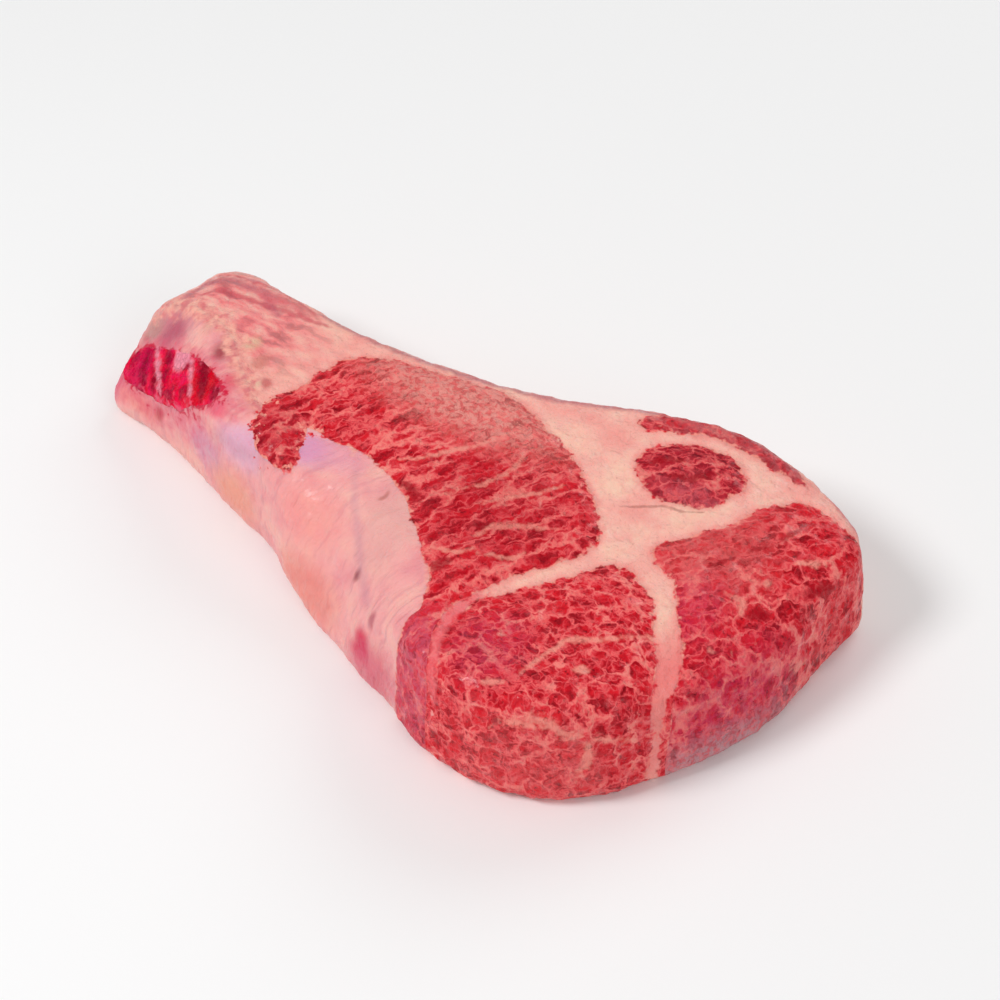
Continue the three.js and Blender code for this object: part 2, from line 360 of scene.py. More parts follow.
def largest_part(piece):
    """Removes the loose bits that the cuts leave, and keeps the largest part."""
    only(piece)
    name = piece.name
    bpy.ops.object.mode_set(mode="EDIT")
    bpy.ops.mesh.select_all(action="SELECT")
    bpy.ops.mesh.separate(type="LOOSE")
    bpy.ops.object.mode_set(mode="OBJECT")
    parts = sorted(bpy.context.selected_objects, key=lambda part: -len(part.data.polygons))
    for crumb in parts[1:]:
        bpy.data.objects.remove(crumb)
    parts[0].name = parts[0].data.name = name
    return parts[0]


def part_the_steak():
    """Cuts the slab into its pieces, which touch with no gap."""
    rest = slab()
    pieces = {}
    for name, knots in MUSCLES.items():
        cutter = column(f"{name} column", knots)
        pieces[name] = copy_of(rest, name)
        cut(pieces[name], cutter, "INTERSECT")
        cut(rest, cutter, "DIFFERENCE")
        bpy.data.objects.remove(cutter)
    cutter = column("rib column", RIB)
    core = marrow_core()
    bone = copy_of(rest, "rib")
    cut(bone, cutter, "INTERSECT")
    cut(rest, cutter, "DIFFERENCE")
    pieces["rib_marrow"] = copy_of(bone, "rib_marrow")
    cut(pieces["rib_marrow"], core, "INTERSECT")
    cut(bone, core, "DIFFERENCE")
    pieces["rib"] = bone
    rest.name = rest.data.name = "fat_and_seams"
    pieces["fat_and_seams"] = rest
    for spare in (cutter, core):
        bpy.data.objects.remove(spare)
    return {name: largest_part(piece) for name, piece in pieces.items()}


# ---------------------------------------------------------------- marks that follow the photograph's places

# Veins, strips, vessels and bands of painted shade as runs of points (x, y, z) with a half width, all in
# millimetres
RUNS = {
    "main_vein": [
        [(70, -55, 46), (72, -45, 46), (74, -36, 45.5), (85, -28, 45), (95, -18, 43.5), 0.9],
        [(62, -73, 31), (72, -68, 37), (85, -61, 39), (88, -60, 35), (98, -51, 30), (105, -43, 26), 0.8],
        [(94, -54, 34), (95.5, -55, 24), (93, -58, 12), 1.4],
        [(56, -45, 46), (57, -47, 46), 1.3],
        [(52, -53, 46), (57, -54, 46), (62, -56, 46), 0.9],
        [(61, -65, 45.5), (67.5, -61, 46), 0.9],
        [(82, -44, 45), (86, -41, 44), 1.5],
        [(8, -8, 46), (16, 2, 46), (20, 14, 46), (18, 25, 46), 0.9],
        [(-14, -3, 45), (-7, 2, 46), (3, 15, 46), (12, 31, 45), 0.8],
        [(19, -6, 46), (24, 1, 46), (33, 10, 46), (37, 18, 45), 0.8],
        [(26, -17, 45.5), (28, -11, 46), (39, -3, 45.5), (46, 0, 45), 0.9],
        [(31, -22, 45.5), (41, -18, 45), (43, -14, 45), 0.8],
        [(18, -28, 45), (26, -26, 45.5), (29, -21, 45.5), 0.8],
        [(110, -10, 40), (111, -11, 37), 1.4],
        [(114, -5.5, 38), (119, -8, 31), 0.9],
        [(118, 3, 36.5), (123, 1.5, 26), (128, 14, 20), (130, 20, 18), 1.0],
        [(104, 9, 44.5), (110, 10, 43), (111, 5.5, 41.5), 0.8],
        [(111, 20, 43), (113, 22, 43), 0.9],
        [(123, 41, 41.5), (115, 33, 43.5), 0.9],
    ],
    "dark_bundle": [
        [(94, 14, 45.5), (96, 18, 45.5), (99, 23, 45.5), 1.0],
        [(101, 27, 45.5), (103, 30, 45.5), (105, 33, 45.5), 1.0],
        [(107, 37, 45), (108, 41, 45), (110, 46, 44.5), 1.0],
        [(113, 7, 41), (115, 10, 40), (118, 13, 38), 2.2],
        [(123, 28, 39), (125, 33, 38), (128, 38, 36), 1.6],
        [(-8, -11, 45), (-3, -12, 45), (3, -15, 45), 2.0],
        [(21, -36, 45), (24, -33, 45), (26, -29, 45), 2.6],
        [(52, 40, 46), (58, 46, 46), (66, 50, 46), 1.5],
        [(62, 40, 46), (70, 44, 46), (76, 50, 46), 1.5],
    ],
    "red_strip": [
        [(-122, 24, 42), (-118.5, 29, 43), (-107.5, 30.5, 43), (-88, 33, 44), (-73, 35, 44), 1.0],
        [(-120, 28, 43), (-117, 29.5, 43), (-113, 29, 43), 1.6],
        [(-126, 38, 39), (-114, 42, 40), (-103, 42, 40), (-92, 41, 42), (-80, 37, 44), 0.5],
        [(-116, 41, 40), (-109, 42, 40), 1.4],
        [(-103, 43, 40), (-99, 43, 40), 1.2],
        [(-50, 43, 41), (-20, 46, 41), (10, 54, 41), (40, 65, 41), 0.3],
        [(100, 71, 36), (112, 66, 38), (122, 62, 38), (130, 57, 36), 1.2],
    ],
    # Grey streaks on the rib's flank: folds of its skin, and painted shade in the hollow beside the flank's
    # ridge
    "grey_fold_and_shade": [
        [(-24, -14, 43), (-17, -24, 42), (-8, -34, 36), (2, -45, 31), (12, -54, 28), 0.8],
        [(-82, -20, 30), (-78, -21, 34), (-66, -24, 36), (-53, -25, 40), 0.9],
        [(-86, -16, 30), (-68, -19, 38), (-54, -24, 40), 0.4],
    ],
    "marrow_pale": [
        [(-127, 4, 29), (-121, -3.5, 27), (-115, -10, 26), 0.6],
        [(-115, 4.5, 37), (-111, 0, 35), (-109, -2.5, 34), 3.6],
        [(-93, -1, 43), (-88, -6, 43), 0.9],
        [(-108, 1, 38), (-103, -5, 37), (-98, -12, 35), 0.3],
    ],
    "marrow_dark": [
        [(-121, 4, 31), (-118, 0, 31), (-116, -3, 30), 1.1],
        [(-131, 3, 25), (-129, -3, 22), (-125, -7, 20), 0.9],
        [(-122, -5, 24), (-119, -9, 24), 0.9],
        [(-103, 1, 41), (-98, -3, 41), (-94, -9, 39), (-92, -13, 37), 2.0],
        [(-88, -10, 42), (-84, -14, 42), 1.6],
    ],
    # Painted shade along the far rim and round the rib's end
    "mauve_rim": [
        [(-148, -4, 16), (-144, 12, 24), (-141, 26, 28), (-138, 36, 30), (-131, 45, 33), 3.0],
        [(-141, 30, 28), (-131, 45, 33), (-122, 51, 34), (-108, 50, 36), (-92, 47, 37), (-50, 45, 38), 2.6],
        [(-128, 18, 38), (-127, 30, 38), (-118, 37, 39), (-104, 37, 41), (-92, 30, 43), 0.7],
        [(-80, 39, 42), (-55, 38.5, 42), (-23, 43, 43), (8, 51, 43), (39, 63.5, 43), (58, 69.5, 43), 0.6],
    ],
    "soft_seam": [
        [
            (46, -27, 45), (40, -37, 46), (38.6, -46, 46), (40.3, -57, 45),
            (45, -66, 40), (49, -72, 28), (50, -73, 12), 1.7,
        ],
    ],
    "vessel": [
        [(56, 22, 43), (60.5, 25, 43.5), (67, 30, 44), (74, 31, 44), (80, 35, 44), 0.35],
        [(50.5, 17, 42), (51.5, 17.5, 42), 0.7],
    ],
}


def distance_to_run(points, run):
    """Each point's distance to a run, less the run's half width, which tapers. Height counts for less."""
    weight = np.array([1, 1, 0.4])
    *knots, half_width = run
    knots = np.array(knots, float) * weight
    places = points * weight
    nearest = np.full(len(points), np.inf)
    for i, (a, b) in enumerate(zip(knots[:-1], knots[1:])):
        span = b - a
        share = np.clip(((places - a) @ span) / (span @ span), 0, 1)
        width = half_width * (0.2 + 0.8 * np.sin((i + share) / (len(knots) - 1) * math.pi))
        nearest = np.minimum(nearest, np.linalg.norm(places - a - share[:, None] * span, axis=1) - width)
    return nearest


def distance_to_marrow(points):
    """About how far each point lies outside the core of the rib, negative inside it."""
    path = np.array(MARROW["path"], float)
    nearest = np.full(len(points), np.inf)
    for i, (a, b) in enumerate(zip(path[:-1], path[1:])):
        along = (b - a)[:2]
        share = np.clip(((points - a)[:, :2] @ along) / (along @ along), 0, 1)
        offset = points - a - share[:, None] * (b - a)
        width = MARROW["half_width"][i] * (1 - share) + MARROW["half_width"][i + 1] * share
        height = MARROW["half_height"][i] * (1 - share) + MARROW["half_height"][i + 1] * share
        beyond = np.hypot(np.linalg.norm(offset[:, :2], axis=1) / width, offset[:, 2] / height) - 1
        nearest = np.minimum(nearest, beyond * width)
    return nearest


def write_marks(piece):
    """Stores how far each point lies from a muscle's border and from the runs above."""
    points = points_of(piece)
    edges = []
    for knots in (RIB, *MUSCLES.values()):
        outline = wandering(smooth_outline(knots, MARK_STEP), THICKNESS)
        edges.append(np.abs(nearest_on(outline, points[:, :2])[0]))
    values = {"rib_edge": edges[0], "border": np.min(edges[1:], axis=0)}
    values["marrow_edge"] = distance_to_marrow(points)
    for kind, runs in RUNS.items():
        values[kind] = np.min([distance_to_run(points, run) for run in runs], axis=0)
    for name, value in values.items():
        mark = piece.data.attributes.new(name, "FLOAT", "POINT")
        mark.data.foreach_set("value", value.astype(np.float32))


# ---------------------------------------------------------------- node helpers


def fill(tree, made, inputs):
    """Links each input that is given a socket, and sets each that is given a value."""
    for socket, value in inputs.items():
        if isinstance(value, bpy.types.NodeSocket):
            tree.links.new(value, made.inputs[socket])
        else:
            made.inputs[socket].default_value = value


def add(tree, kind, inputs=None, **settings):
    """One node with its settings and inputs."""
    made = tree.nodes.new(kind)
    for name, value in settings.items():
        setattr(made, name, value)
    fill(tree, made, inputs or {})
    return made


def maths(tree, operation, a, b=0.0, c=0.0):
    return add(tree, "ShaderNodeMath", {0: a, 1: b, 2: c}, operation=operation).outputs[0]


def vectors(tree, operation, a, b=(0, 0, 0), c=(0, 0, 0)):
    made = add(tree, "ShaderNodeVectorMath", {0: a, 1: b, 2: c}, operation=operation)
    return made.outputs["Value" if operation == "LENGTH" else "Vector"]


def scaled(tree, vector, factor):
    made = add(tree, "ShaderNodeVectorMath", {0: vector, "Scale": factor}, operation="SCALE")
    return made.outputs[0]


def turned_by(tree, place, angle):
    made = add(tree, "ShaderNodeVectorRotate", {"Vector": place, "Angle": angle}, rotation_type="Z_AXIS")
    return made.outputs[0]


def spread(tree, value, low, high, to_low=0.0, to_high=1.0):
    """Maps a range of values smoothly to another."""
    made = add(
        tree,
        "ShaderNodeMapRange",
        {"Value": value, "From Min": low, "From Max": high, "To Min": to_low, "To Max": to_high},
        interpolation_type="SMOOTHSTEP",
    )
    return made.outputs["Result"]


def mix(tree, factor, a, b):
    """Mixes two colours."""
    inputs = {0: factor, 6: a, 7: b}
    made = add(tree, "ShaderNodeMix", inputs, data_type="RGBA", clamp_factor=True)
    return made.outputs[2]


def clouds(tree, place, size, detail=2.0, roughness=0.5, kind="Fac"):
    """A soft noise with features of a size in millimetres, given as a value or a socket."""
    density = maths(tree, "DIVIDE", 1.0, size) if isinstance(size, bpy.types.NodeSocket) else 1 / size
    made = add(
        tree,
        "ShaderNodeTexNoise",
        {"Vector": place, "Scale": density, "Detail": detail, "Roughness": roughness},
    )
    return made.outputs[kind]


def wobbling(tree, place, size, amount, detail=2.0):
    """A soft noise about zero, from -0.5 to 0.5 times the amount."""
    return maths(tree, "MULTIPLY", maths(tree, "SUBTRACT", clouds(tree, place, size, detail), 0.5), amount)


def ramp(tree, value, stops):
    """A colour ramp through (position, colour) stops."""
    made = add(tree, "ShaderNodeValToRGB", {"Fac": value})
    elements = made.color_ramp.elements
    elements[0].position, elements[0].color = stops[0]
    elements[1].position, elements[1].color = stops[-1]
    for position, colour in stops[1:-1]:
        elements.new(position).color = colour
    return made.outputs["Color"]


def colour(red, green, blue):
    """A colour as seen on a screen, 0 to 255, as the shader's own linear values."""
    shares = [value / 255 for value in (red, green, blue)]
    linear = [share / 12.92 if share <= 0.04045 else ((share + 0.055) / 1.055) ** 2.4 for share in shares]
    return (*linear, 1.0)


def group(name, inputs, outputs, build):
    """A shader node group, with a start value for each input."""
    tree = bpy.data.node_groups.new(name, "ShaderNodeTree")
    for socket, start in inputs.items():
        kind = "Vector" if isinstance(start, tuple) else "Float"
        made = tree.interface.new_socket(socket, in_out="INPUT", socket_type=f"NodeSocket{kind}")
        made.default_value = start
    for socket in outputs:
        kind = "Vector" if socket == "Place" else "Float"
        tree.interface.new_socket(socket, in_out="OUTPUT", socket_type=f"NodeSocket{kind}")
    given = tree.nodes.new("NodeGroupInput").outputs
    result = build(tree, given)
    fill(tree, tree.nodes.new("NodeGroupOutput"), {socket: result[socket] for socket in outputs})
    return tree


def use(tree, node_tree, inputs=None):
    """Places a node group and gives back its outputs."""
    return add(tree, "ShaderNodeGroup", inputs, node_tree=node_tree).outputs


# ---------------------------------------------------------------- shared effects


def build_place(tree, given):
    """Object coordinates as millimetres in the slab's own frame."""
    place = add(tree, "ShaderNodeTexCoord").outputs["Object"]
    moved = vectors(tree, "MULTIPLY_ADD", place, (1000, 1000, 1000), tuple(-s for s in SHIFT))
    return {"Place": moved}


def build_wander(tree, given):
    """A place pushed about by noise, so that a pattern laid on it isn't regular."""
    stray = clouds(tree, given["Place"], given["Size"], kind="Color")
    stray = vectors(tree, "SUBTRACT", stray, (0.5, 0.5, 0.5))
    stray = scaled(tree, stray, given["Amount"])
    return {"Place": vectors(tree, "ADD", given["Place"], stray)}


def build_net(tree, given):
    """Fat between bundles of muscle: a broken net of soft lines round cells, and a tone for each cell."""
    turned = turned_by(tree, given["Place"], given["Turn"])
    squeeze = add(
        tree,
        "ShaderNodeCombineXYZ",
        {"X": maths(tree, "DIVIDE", 1.0, given["Stretch"]), "Y": 1.0, "Z": given["Upright"]},
    ).outputs[0]
    laid = vectors(tree, "MULTIPLY", turned, squeeze)
    density = maths(tree, "DIVIDE", 1.0, given["Cell"])
    cells = {"Vector": laid, "Scale": density, "Randomness": 1.0}
    line = add(tree, "ShaderNodeTexVoronoi", cells, feature="DISTANCE_TO_EDGE").outputs["Distance"]
    nearest = add(tree, "ShaderNodeTexVoronoi", cells, feature="F1")
    corner = spread(tree, nearest.outputs["Distance"], 0.45, 0.9, 0.0, 0.16)
    line = maths(tree, "MULTIPLY_ADD", corner, -0.8, line)
    line = maths(tree, "MULTIPLY", line, given["Cell"])
    apart = add(tree, "ShaderNodeCombineXYZ", {"Z": maths(tree, "MULTIPLY", given["Cell"], 40.0)}).outputs[0]
    apart = vectors(tree, "ADD", given["Place"], apart)
    patchy = maths(tree, "SUBTRACT", clouds(tree, apart, 9.0, 3.0), 0.5)
    width = maths(tree, "MULTIPLY_ADD", maths(tree, "MULTIPLY", patchy, given["Gaps"]), 5.0, 1.0)
    width = maths(tree, "MINIMUM", maths(tree, "MAXIMUM", width, 0.0), 1.6)
    swell = spread(tree, clouds(tree, apart, 3.2, 2.0), 0.34, 0.66, 0.4, 1.5)
    width = maths(tree, "MULTIPLY", maths(tree, "MULTIPLY", width, swell), given["Width"])
    half = maths(tree, "MULTIPLY", width, 0.5)
    outside = maths(tree, "ADD", half, given["Soft"])
    fat = spread(tree, line, outside, maths(tree, "SUBTRACT", half, given["Soft"]))
    separate = add(tree, "ShaderNodeSeparateColor", {"Color": nearest.outputs["Color"]})
    middle = spread(tree, nearest.outputs["Distance"], 0.6, 0.15)
    return {"Fat": fat, "Tone": separate.outputs["Red"], "Inwards": line, "Middle": middle}


def build_spot(tree, given):
    """A soft patch round a centre, with its own reach along each axis."""
    offset = vectors(tree, "SUBTRACT", given["Place"], given["Centre"])
    offset = vectors(tree, "DIVIDE", offset, given["Reach"])
    far = vectors(tree, "LENGTH", offset)
    return {"Mask": spread(tree, far, 1.3, 0.3)}


def build_grain(tree, given):
    """Ends of muscle fibres on a cut face, which show as upright threads on the sides."""
    threads = vectors(tree, "MULTIPLY", given["Place"], (1, 1, 0.22))
    fine = clouds(tree, threads, 0.9, 3.0, 0.6)
    coarse = clouds(tree, threads, 2.4, 2.0, 0.5)
    height = maths(tree, "MULTIPLY_ADD", coarse, 0.7, maths(tree, "MULTIPLY", fine, 0.3))
    return {"Height": height, "Tone": coarse}


# ---------------------------------------------------------------- the pieces, in their place

pieces = part_the_steak()
box_low = steak_outline.min(axis=0)
box_high = steak_outline.max(axis=0)
SHIFT = (-(box_low[0] + box_high[0]) / 2, -(box_low[1] + box_high[1]) / 2, 0)

PLACE = {"Place": (0, 0, 0)}
WEAVE = {"Turn": 0.0, "Stretch": 1.0, "Upright": 0.6, "Cell": 6.0, "Width": 1.0, "Soft": 0.5, "Gaps": 1.0}
place_group = group("place on the steak", {}, ["Place"], build_place)
wander_group = group("wandering place", {**PLACE, "Size": 5.0, "Amount": 2.0}, ["Place"], build_wander)
net_group = group("fat net", {**PLACE, **WEAVE}, ["Fat", "Tone", "Inwards", "Middle"], build_net)
spot_group = group("soft spot", {**PLACE, "Centre": (0, 0, 0), "Reach": (10, 10, 10)}, ["Mask"], build_spot)
grain_group = group("fibre grain", PLACE, ["Height", "Tone"], build_grain)


def soft_spot(tree, place, centre, reach):
    return use(tree, spot_group, {"Place": place, "Centre": centre, "Reach": reach})["Mask"]


def patch(tree, place, base, centre, reach, tint, strength):
    """Tints a soft patch of the base colour."""
    spot = maths(tree, "MULTIPLY", soft_spot(tree, place, centre, reach), strength)
    return mix(tree, spot, base, tint)


def mark(tree, name):
    return add(tree, "ShaderNodeAttribute", attribute_name=name, attribute_type="GEOMETRY").outputs["Fac"]


def tint_along(tree, base, name, stray, outer, inner, tint, strength=1.0):
    """Tints the base colour near a mark, softly from an outer to an inner distance in millimetres."""
    near = maths(tree, "ADD", mark(tree, name), stray)
    return mix(tree, spread(tree, near, outer, inner, 0.0, strength), base, tint)


MOIST = {
    "IOR": 1.4,
    "Specular IOR Level": 0.14,
    "Subsurface Radius": (1.0, 0.32, 0.24),
    "Subsurface Scale": 1.4 * MM,
    "Coat Roughness": 0.2,
}


def surface(name, values):
    """A material with one shader, its tree and the shader."""
    material = bpy.data.materials.new(name)
    material.use_nodes = True
    tree = material.node_tree
    shader = tree.nodes["Principled BSDF"]
    fill(tree, shader, values)
    return material, tree, shader


def flesh(name, roughness, subsurface, tint):
    """A material for moist tissue, with its tree and shader."""
    values = {**MOIST, "Roughness": roughness, "Subsurface Weight": subsurface}
    material, tree, shader = surface(name, values)
    material.diffuse_color = tint
    return material, tree, shader


# Colours of lean and fat
DEEP = colour(154, 0, 20)
DARK_BUNDLE = colour(166, 0, 22)
RED = colour(202, 5, 29)
BRIGHT = colour(228, 26, 40)
ROSE = colour(198, 58, 92)
VEIN_EDGE = colour(216, 36, 50)
THIN_VEIN = colour(234, 70, 80)
VEIN = colour(246, 102, 102)
WIDE_VEIN = colour(252, 134, 126)
RICH_VEIN = colour(252, 154, 140)
FAT = colour(254, 186, 172)

# Where lean is frayed into its surroundings, by how many times more, and where it overlaps them, in
# millimetres: centre, reach and amount
FRAYS = [((-58, -14, 44), (18, 16, 20), 2.2)]
OVERLAPS = [((46, -64, 26), (17, 26, 44), 3.0), ((108, -40, 14), (16, 20, 30), 1.6)]


def ragged(tree, place):
    """How far the edge between lean and fat strays from the cut, in millimetres, positive into the fat."""
    stray = maths(tree, "ADD", wobbling(tree, place, 3.4, 6.0), wobbling(tree, place, 1.3, 2.0))
    for centre, reach, further in FRAYS:
        near = soft_spot(tree, place, centre, reach)
        stray = maths(tree, "MULTIPLY", stray, maths(tree, "MULTIPLY_ADD", near, further, 1.0))
    for centre, reach, further in OVERLAPS:
        near = soft_spot(tree, place, centre, reach)
        stray = maths(tree, "MULTIPLY_ADD", near, further, stray)
    return stray


# How each muscle is marbled: turn, stretch, cell and width of its veins, and how upright its fibres stand
RIB_WEAVE = (math.radians(64), 3.6, 4.6, 0.4)
EYE_WEAVE = (math.radians(20), 1.4, 4.6, 0.42)
CAP_WEAVE = (math.radians(50), 2.0, 4.6, 0.35, 0.3)


def lean_colour(tree, place, turn, stretch, cell, vein, upright=0.6, deep=DEEP, red=RED, bright=BRIGHT):
    """Colour of lean meat: bundles in several tones inside three nets of fat, and what its relief needs."""
    strayed = use(tree, wander_group, {"Place": place, "Size": cell * 0.9, "Amount": cell * 1.1})["Place"]
    strayed = use(tree, wander_group, {"Place": strayed, "Size": 1.7, "Amount": 2.5})["Place"]
    shape = {"Place": strayed, "Turn": -turn, "Stretch": stretch, "Upright": upright}
    nets = []
    for part, soft, gaps in ((1.0, 0.9, 1.4), (0.6, 0.6, 1.4), (0.3, 0.35, 1.2)):
        size = {"Cell": cell * part, "Width": vein * part, "Soft": soft, "Gaps": gaps}
        nets.append(use(tree, net_group, {**shape, **size}))
    wide, middle, fine = nets
    grain = use(tree, grain_group, {"Place": place})

    # Tone of the lean between the veins
    tone = maths(tree, "MULTIPLY_ADD", wide["Tone"], 0.3, maths(tree, "MULTIPLY", middle["Tone"], 0.3))
    tone = maths(tree, "MULTIPLY_ADD", clouds(tree, place, 16, 2.0), 0.4, tone)
    tone = maths(tree, "MULTIPLY_ADD", maths(tree, "SUBTRACT", grain["Tone"], 0.5), 0.6, tone)
    tone = maths(tree, "MULTIPLY_ADD", middle["Middle"], -0.2, maths(tree, "ADD", tone, 0.07))
    base = ramp(tree, tone, [(0.28, deep), (0.5, red), (0.72, bright)])
    # Small pits, sunk in the relief and also painted darker: painted shade in the pits
    shaded_pits = spread(tree, clouds(tree, place, 1.8, 3.0), 0.6, 0.72, 0.0, 0.7)
    base = mix(tree, shaded_pits, base, colour(120, 0, 18))

    # Fat between its bundles, soft at the edges
    faint = maths(tree, "MULTIPLY", fine["Fat"], 0.35)
    half = maths(tree, "MULTIPLY", middle["Fat"], 0.75)
    fat = maths(tree, "MAXIMUM", wide["Fat"], maths(tree, "MAXIMUM", half, faint))
    veins = ramp(tree, fat, [(0.15, VEIN_EDGE), (0.5, THIN_VEIN), (0.8, VEIN), (1.0, WIDE_VEIN)])
    base = mix(tree, spread(tree, fat, 0.0, 0.75), base, veins)
    relief = {"Inwards": wide["Inwards"], "Shaded pits": shaded_pits, "Height": grain["Height"]}
    return {"Colour": base, "Place": strayed, **relief}


def lean_bits(tree, place, base, weave, reach=1.0):
    """Lays bits of lean over fat or bone where the ragged edge runs past the cut."""
    stray = maths(tree, "MULTIPLY", ragged(tree, place), reach)
    beyond = maths(tree, "SUBTRACT", stray, mark(tree, "border"))
    return mix(tree, spread(tree, beyond, -0.5, 0.7), base, lean_colour(tree, place, *weave)["Colour"])


def skin_over(tree, place, base):
    """Hides the edge between rib and fat under one thin mottled skin."""
    mottles = clouds(tree, place, 3.0, 3.0)
    skin = ramp(tree, mottles, [(0.35, colour(226, 128, 130)), (0.6, colour(250, 178, 162))])
    return tint_along(tree, base, "rib_edge", wobbling(tree, place, 4.0, 14.0, 3.0), 6.0, 1.0, skin)


def painted_rim_shade(tree, base, wobble):
    """Painted shade: a dull mauve band along the far rim, where the rim turns away."""
    return tint_along(tree, base, "mauve_rim", wobble, 3.0, -1.0, colour(180, 92, 108), 0.75)


def marrow_stray(tree, place):
    """How far the edge of the marrow strays from the cut, in millimetres, positive into the bone."""
    return wobbling(tree, place, 3.0, 9.0, 3.0)


def marrow_bits(tree, place, base):
    """Lays bits of marrow and a red stain over the bone round the core."""
    beyond = maths(tree, "SUBTRACT", marrow_stray(tree, place), mark(tree, "marrow_edge"))
    base = mix(tree, spread(tree, beyond, -5.0, 0.5, 0.0, 0.6), base, colour(226, 88, 116))
    return mix(tree, spread(tree, beyond, -0.4, 0.8, 0.0, 0.9), base, colour(212, 14, 60))


def finish_flesh(tree, shader, base, height, depth, place, roughness=None, wetness=0.55):
    """Joins colour, relief and a patchy wet film to the shader."""
    film = spread(tree, clouds(tree, place, 4.0, 3.0), 0.48, 0.66, 0.0, wetness)
    bump = add(tree, "ShaderNodeBump", {"Height": height, "Strength": 1.0, "Distance": depth * MM})
    fill(tree, shader, {"Coat Weight": film, "Base Color": base, "Normal": bump.outputs["Normal"]})
    if roughness is not None:
        fill(tree, shader, {"Roughness": roughness})


def seam_over(tree, base, wobble):
    """Draws the soft pink seam between rib meat and eye, where the fat is too thin to show."""
    return tint_along(tree, base, "soft_seam", wobble, 1.3, -1.0, colour(240, 112, 118), 0.75)


def lean(name, weave, tints=(), **tones):
    """Lean meat in its weave, with tinted patches, and the main veins and dark bundles laid over it."""
    material, tree, shader = flesh(name, 0.4, 0.14, RED)
    place = use(tree, place_group)["Place"]
    meat = lean_colour(tree, place, *weave, **tones)
    base = meat["Colour"]
    wobble = wobbling(tree, place, 2.4, 3.6)
    base = tint_along(tree, base, "main_vein", wobble, 0.9, -0.8, RICH_VEIN, 0.85)
    broken = spread(tree, clouds(tree, meat["Place"], 2.2, 3.0), 0.4, 0.6, 0.4, 1.0)
    for centre, reach, tint, strength in tints:
        spot = maths(tree, "MULTIPLY", soft_spot(tree, meat["Place"], centre, reach), broken)
        base = mix(tree, maths(tree, "MULTIPLY", spot, strength), base, tint)
    base = tint_along(tree, base, "dark_bundle", wobble, 0.8, -0.8, DARK_BUNDLE, 0.75)
    base = tint_along(tree, base, "border", ragged(tree, place), 0.7, -0.5, RICH_VEIN)
    base = seam_over(tree, base, wobble)

    bundle = spread(tree, meat["Inwards"], 0.0, 1.6)
    height = maths(tree, "MULTIPLY_ADD", bundle, -0.25, maths(tree, "MULTIPLY", meat["Height"], 1.3))
    height = maths(tree, "MULTIPLY_ADD", meat["Shaded pits"], -0.4, height)
    wet = spread(tree, clouds(tree, place, 5.0, 2.0), 0.3, 0.7, 0.3, 0.5)
    finish_flesh(tree, shader, base, height, 1.35, place, wet)
    return material


# Tones from dark to light, and tinted patches: centre, reach along each axis, colour and strength
SEAM_SPOTS = [
    ((40, -56, 32), (16, 26, 40), colour(232, 104, 116), 0.75),
    ((106, -32, 28), (16, 30, 40), colour(244, 126, 124), 0.85),
]
TAIL_TONES = [
    (0.34, colour(192, 94, 102)),
    (0.45, colour(240, 126, 130)),
    (0.56, colour(246, 160, 154)),
    (0.7, colour(246, 190, 174)),
]
TAIL_SPOTS = [
    ((-90, 13, 44), (3.5, 5, 6), colour(224, 190, 156), 0.7),
    ((-77.5, -2.5, 44), (3, 4, 5), colour(228, 200, 168), 0.7),
    ((-82, 8, 44), (3, 5, 5), colour(206, 128, 116), 0.7),
    ((-74, 1, 44), (3, 3, 5), colour(196, 90, 92), 0.7),
    ((-97, 36, 43), (14, 4, 8), colour(222, 112, 118), 0.7),
]
BONE_TONES = [(0.3, colour(238, 154, 158)), (0.5, colour(246, 170, 168)), (0.7, colour(250, 184, 174))]
BONE_SPOTS = [
    ((-45, -15, 43), (11, 8, 20), colour(218, 152, 196), 0.75),
    ((-34, -12, 43), (14, 8, 20), colour(232, 158, 180), 0.5),
    ((-85, -20, 22), (14, 7, 9), colour(206, 142, 176), 0.6),
    ((-64, -22, 37), (16, 5, 12), colour(226, 180, 212), 0.7),
    ((-70, -26, 14), (14, 10, 12), colour(240, 158, 132), 0.7),
    ((-24, -43, 12), (22, 12, 12), colour(238, 140, 126), 0.7),
    ((-30, -32, 33), (16, 12, 14), colour(252, 156, 150), 0.6),
    ((-82.5, -6, 44), (3.5, 5.5, 6), colour(232, 84, 96), 0.8),
    ((-81, -17, 42), (5, 3, 6), colour(244, 84, 118), 0.7),
    ((0, -26, 43), (14, 22, 20), colour(234, 172, 166), 0.75),
    ((-3, -42, 31), (2.0, 2.4, 3.0), colour(140, 60, 70), 0.8),
    ((12, -54, 32), (2.5, 2.5, 4.0), colour(180, 70, 90), 0.7),
    ((9, -57, 19), (5.2, 5.2, 8.0), colour(218, 12, 66), 1.0),
    ((14, -60, 12), (18, 10, 16), colour(216, 90, 116), 0.75),
    ((-10, -18, 44), (1.0, 2.6, 3.0), colour(190, 110, 100), 0.7),
    # Mauve and grey-pink patches on the sawn end above the marrow are painted shade
    ((-124, 10, 34), (13, 9, 14), colour(204, 112, 128), 0.8),
    ((-122, 8, 34), (7, 5, 9), colour(186, 88, 110), 0.7),
    ((-134, 10, 28), (6, 7, 9), colour(190, 136, 132), 0.8),
    ((-108, 12, 44), (3, 6, 5), colour(230, 176, 160), 0.8),
    ((-95.5, 5, 44.4), (4.6, 6, 6), colour(170, 68, 78), 0.9),
    ((-88, 4, 44.4), (3, 6, 6), colour(240, 160, 150), 0.8),
    ((-115, -12, 16), (3.4, 3, 4), colour(170, 30, 50), 0.9),
    ((-126, -10, 14), (16, 5, 6), colour(242, 130, 126), 0.6),
    ((-139, -6, 12), (4, 8, 8), colour(222, 106, 130), 0.8),
]


